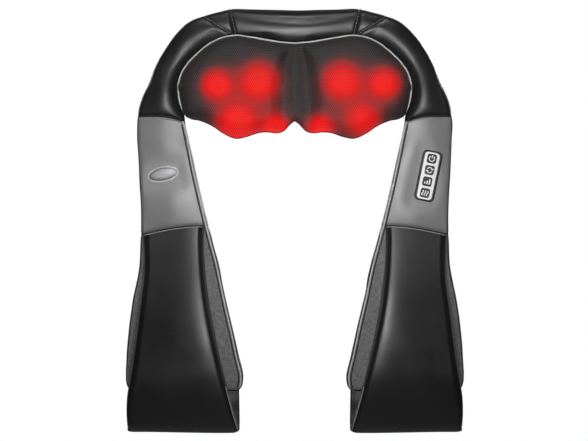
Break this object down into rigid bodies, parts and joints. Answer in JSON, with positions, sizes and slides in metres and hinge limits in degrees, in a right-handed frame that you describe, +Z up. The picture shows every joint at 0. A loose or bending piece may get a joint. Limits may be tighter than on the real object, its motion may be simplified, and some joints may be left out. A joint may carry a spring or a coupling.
{
  "type": "shiatsu neck massager",
  "caption": "Padded yoke-shaped neck massager: mesh pod with geared rotating heads, two hanging arms with hand loops, and a small button panel.",
  "frame": {"origin": "middle of the pod's neck side, on the plane where the front frame and the mesh cover meet", "axes": "+X to the right as the neck side is looked at, +Y from the neck into the pod's back, +Z up, with the arms hanging down"},
  "size_m": [0.438, 0.1234, 0.5491],
  "materials": {
    "black_leather": "soft grained leather, satin",
    "grey_leather": "smooth satin",
    "mesh_fabric": "fine perforated stretch mesh",
    "pad_fabric": "fine air mesh",
    "piping": "smooth light cord",
    "foam": "open foam",
    "frame_plastic": "moulded, fine texture",
    "head_plastic": "satin, translucent red",
    "wheel_plastic": "natural acetal",
    "steel": "turned",
    "bronze": "sintered",
    "magnet": "ferrite",
    "circuit_board": "solder mask",
    "badge_silver": "satin chrome",
    "bezel_plastic": "satin",
    "plate_silver": "silver paint",
    "button_plastic": "satin, soft corners"
  },
  "bodies": {
    "pod": {"mesh_cover": "mesh_fabric", "back_cover": "black_leather", "yoke_leather": "black_leather", "yoke_foam": "foam", "left_shoulder_leather": "black_leather", "right_shoulder_leather": "black_leather", "left_shoulder_foam": "foam", "right_shoulder_foam": "foam", "pod_piping": "piping", "front_frame": "frame_plastic", "rear_housing": "frame_plastic", "housing_screws": "steel", "power_inlet": "frame_plastic", "driver_board": "circuit_board", "lamp_boards": "circuit_board", "motor_can": "steel", "motor_end_cap": "frame_plastic", "motor_magnets": "magnet", "left_gear_case": "frame_plastic", "right_gear_case": "frame_plastic", "shaft_bushes": "bronze"},
    "motor_rotor": {"armature": "steel", "rotor_shaft": "steel", "left_worm": "steel", "right_worm": "steel"},
    "left_carrier": {"left_worm_wheel": "wheel_plastic", "left_output_shaft": "steel", "left_carrier_screw": "steel", "left_carrier_plate": "frame_plastic", "left_large_heads": "head_plastic", "left_small_heads": "head_plastic"},
    "right_carrier": {"right_worm_wheel": "wheel_plastic", "right_output_shaft": "steel", "right_carrier_screw": "steel", "right_carrier_plate": "frame_plastic", "right_large_heads": "head_plastic", "right_small_heads": "head_plastic"},
    "left_arm": {"left_arm_foam": "foam", "left_grey_panel": "grey_leather", "left_arm_cover": "black_leather", "left_arm_pad": "pad_fabric", "left_front_flap": "black_leather", "left_rear_flap": "black_leather", "left_arm_piping": "piping", "oval_badge": "badge_silver"},
    "right_arm": {"right_arm_foam": "foam", "right_grey_panel": "grey_leather", "right_arm_cover": "black_leather", "right_arm_pad": "pad_fabric", "right_front_flap": "black_leather", "right_rear_flap": "black_leather", "right_arm_piping": "piping", "controller_bezel": "bezel_plastic", "controller_plate": "plate_silver", "controller_board": "circuit_board"},
    "power_button": {"power_button": "button_plastic"},
    "direction_button": {"direction_button": "button_plastic"},
    "speed_button": {"speed_button": "button_plastic"},
    "heat_button": {"heat_button": "button_plastic"}
  },
  "joints": [
    {"name": "right_carrier_spin", "type": "hinge", "parent": "pod", "child": "right_carrier", "pos_m": [0.067, 0, -0.0065], "axis": [0, 1, 0], "continuous": true},
    {"name": "left_carrier_spin", "type": "hinge", "parent": "pod", "child": "left_carrier", "pos_m": [-0.067, 0, -0.0065], "axis": [0, 1, 0], "continuous": true},
    {"name": "motor_spin", "type": "hinge", "parent": "pod", "child": "motor_rotor", "pos_m": [0, 0.03, 0.0245], "axis": [1, 0, 0], "continuous": true},
    {"name": "right_arm_fold", "type": "hinge", "parent": "pod", "child": "right_arm", "pos_m": [0.173, -0.03, -0.0385], "axis": [-1, 0, 0], "range_deg": [0, 75]},
    {"name": "left_arm_fold", "type": "hinge", "parent": "pod", "child": "left_arm", "pos_m": [-0.173, -0.03, -0.0385], "axis": [-1, 0, 0], "range_deg": [0, 75]},
    {"name": "power_press", "type": "slide", "parent": "right_arm", "child": "power_button", "axis": [0, 1, 0], "range_m": [0, 0.0008], "stiffness_N_per_m": 600, "springref_m": -0.0008},
    {"name": "direction_press", "type": "slide", "parent": "right_arm", "child": "direction_button", "axis": [0, 1, 0], "range_m": [0, 0.0008], "stiffness_N_per_m": 600, "springref_m": -0.0008},
    {"name": "speed_press", "type": "slide", "parent": "right_arm", "child": "speed_button", "axis": [0, 1, 0], "range_m": [0, 0.0008], "stiffness_N_per_m": 600, "springref_m": -0.0008},
    {"name": "heat_press", "type": "slide", "parent": "right_arm", "child": "heat_button", "axis": [0, 1, 0], "range_m": [0, 0.0008], "stiffness_N_per_m": 600, "springref_m": -0.0008}
  ],
  "couplings": [
    {"joint": "left_carrier_spin", "follows": "right_carrier_spin", "ratio": -1},
    {"joint": "motor_spin", "follows": "right_carrier_spin", "ratio": -40}
  ]
}
